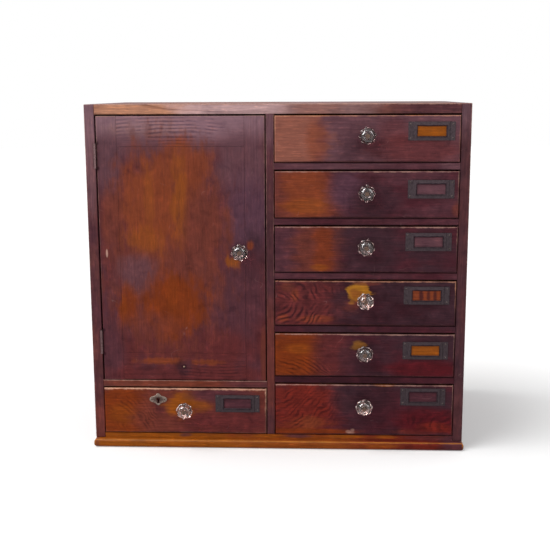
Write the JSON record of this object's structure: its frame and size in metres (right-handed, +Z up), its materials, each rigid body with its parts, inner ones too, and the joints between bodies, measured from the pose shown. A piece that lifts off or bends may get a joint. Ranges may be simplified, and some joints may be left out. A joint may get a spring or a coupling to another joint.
{
  "type": "chest of drawers",
  "caption": "Table-top collectors chest in stained oak with a hinged cupboard door, a locking drawer below it and a column of shallow drawers with fluted glass knobs and label holders.",
  "frame": {"origin": "on the floor, at the middle of the base board's underside", "axes": "+X to the right seen from the front, -Y out of the front towards the viewer, +Z up"},
  "size_m": [0.588, 0.3551, 0.542],
  "materials": {
    "dark_oak": "dark red-brown stain under old varnish",
    "worn_oak": "stained and varnished, worn through to amber in places",
    "bare_oak": "unfinished, aged",
    "glass": "clear pressed glass",
    "old_steel": "dark patinated sheet steel",
    "old_brass": "tarnished brass"
  },
  "bodies": {
    "carcass": {"base_board": "worn_oak", "left_side": "dark_oak", "right_side": "dark_oak", "top_board": "worn_oak", "centre_divider": "dark_oak", "cupboard_floor": "dark_oak", "dust_board_1": "dark_oak", "dust_board_2": "dark_oak", "dust_board_3": "dark_oak", "dust_board_4": "dark_oak", "dust_board_5": "dark_oak", "back_panel": "bare_oak", "hinge_upper_frame_leaf": "old_steel", "hinge_lower_frame_leaf": "old_steel"},
    "door": {"door_hinge_stile": "dark_oak", "door_latch_stile": "dark_oak", "door_top_rail": "dark_oak", "door_bottom_rail": "dark_oak", "door_panel": "worn_oak", "hinge_upper_door_leaf": "old_steel", "hinge_lower_door_leaf": "old_steel"},
    "latch": {"door_turn_knob": "glass"},
    "drawer_1": {"drawer_1_front": "worn_oak", "drawer_1_box": "bare_oak", "drawer_1_bottom": "bare_oak", "drawer_1_knob": "glass", "drawer_1_label_holder": "old_steel"},
    "drawer_2": {"drawer_2_front": "worn_oak", "drawer_2_box": "bare_oak", "drawer_2_bottom": "bare_oak", "drawer_2_knob": "glass", "drawer_2_label_holder": "old_steel"},
    "drawer_3": {"drawer_3_front": "worn_oak", "drawer_3_box": "bare_oak", "drawer_3_bottom": "bare_oak", "drawer_3_knob": "glass", "drawer_3_label_holder": "old_steel"},
    "drawer_4": {"drawer_4_front": "worn_oak", "drawer_4_box": "bare_oak", "drawer_4_bottom": "bare_oak", "drawer_4_knob": "glass", "drawer_4_label_holder": "old_steel"},
    "drawer_5": {"drawer_5_front": "worn_oak", "drawer_5_box": "bare_oak", "drawer_5_bottom": "bare_oak", "drawer_5_knob": "glass", "drawer_5_label_holder": "old_steel"},
    "drawer_6": {"drawer_6_front": "worn_oak", "drawer_6_box": "bare_oak", "drawer_6_bottom": "bare_oak", "drawer_6_knob": "glass", "drawer_6_label_holder": "old_steel"},
    "drawer_7": {"drawer_7_front": "worn_oak", "drawer_7_box": "bare_oak", "drawer_7_bottom": "bare_oak", "drawer_7_knob": "glass", "drawer_7_label_holder": "old_steel", "lock_case": "old_steel", "escutcheon": "old_brass"},
    "lock_bolt": {"lock_bolt": "old_brass"}
  },
  "joints": [
    {"name": "door_swing", "type": "hinge", "parent": "carcass", "child": "door", "pos_m": [-0.277, -0.1631, 0.318], "axis": [0, 0, -1], "range_deg": [0, 170]},
    {"name": "latch_turn", "type": "hinge", "parent": "door", "child": "latch", "pos_m": [-0.0564, -0.1525, 0.3178], "axis": [0, -1, 0], "range_deg": [0, 90]},
    {"name": "drawer_1_slide", "type": "slide", "parent": "carcass", "child": "drawer_1", "axis": [0, -1, 0], "range_m": [0, 0.24]},
    {"name": "drawer_2_slide", "type": "slide", "parent": "carcass", "child": "drawer_2", "axis": [0, -1, 0], "range_m": [0, 0.24]},
    {"name": "drawer_3_slide", "type": "slide", "parent": "carcass", "child": "drawer_3", "axis": [0, -1, 0], "range_m": [0, 0.24]},
    {"name": "drawer_4_slide", "type": "slide", "parent": "carcass", "child": "drawer_4", "axis": [0, -1, 0], "range_m": [0, 0.24]},
    {"name": "drawer_5_slide", "type": "slide", "parent": "carcass", "child": "drawer_5", "axis": [0, -1, 0], "range_m": [0, 0.24]},
    {"name": "drawer_6_slide", "type": "slide", "parent": "carcass", "child": "drawer_6", "axis": [0, -1, 0], "range_m": [0, 0.24]},
    {"name": "drawer_7_slide", "type": "slide", "parent": "carcass", "child": "drawer_7", "axis": [0, -1, 0], "range_m": [0, 0.24]},
    {"name": "lock_bolt_slide", "type": "slide", "parent": "drawer_7", "child": "lock_bolt", "axis": [0, 0, 1], "range_m": [0, 0.006]}
  ]
}
